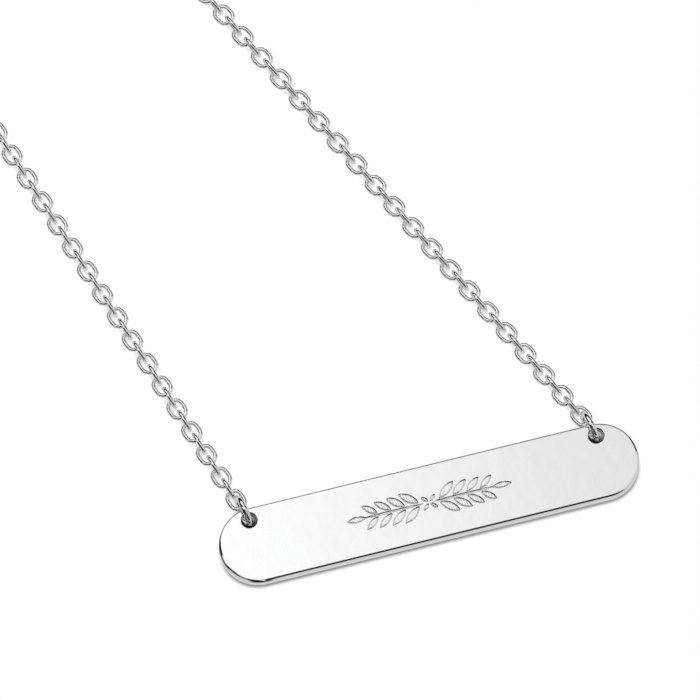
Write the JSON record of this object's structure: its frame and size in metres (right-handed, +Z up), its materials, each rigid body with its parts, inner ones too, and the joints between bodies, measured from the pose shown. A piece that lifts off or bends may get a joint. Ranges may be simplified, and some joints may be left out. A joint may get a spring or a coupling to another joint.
{
  "type": "bar necklace",
  "caption": "Lying bar necklace: a slim round-ended bar, engraved with a sprig, joined by jump rings to a closed loop of oval cable chain with a plain ring clasp.",
  "frame": {"origin": "middle of the footprint of the lying necklace, on the surface that it lies on", "axes": "+X along the bar from its left to its right end as the engraving is read, +Y from the bar towards the back of the loop, +Z up from the surface"},
  "size_m": [0.0968, 0.1596, 0.0038],
  "materials": {
    "bar_silver": "sterling silver plate, mirror polished, with a shallow engraved sprig that is matt and grey in its cuts",
    "ring_silver": "round sterling silver wire, polished",
    "chain_silver": "fine sterling silver chain links, bright polished"
  },
  "bodies": {
    "root": {"bar": "bar_silver", "jump_ring_left": "ring_silver", "jump_ring_right": "ring_silver", "chain_left": "chain_silver", "chain_right": "chain_silver", "clasp": "ring_silver", "closing_ring": "ring_silver"}
  },
  "joints": []
}
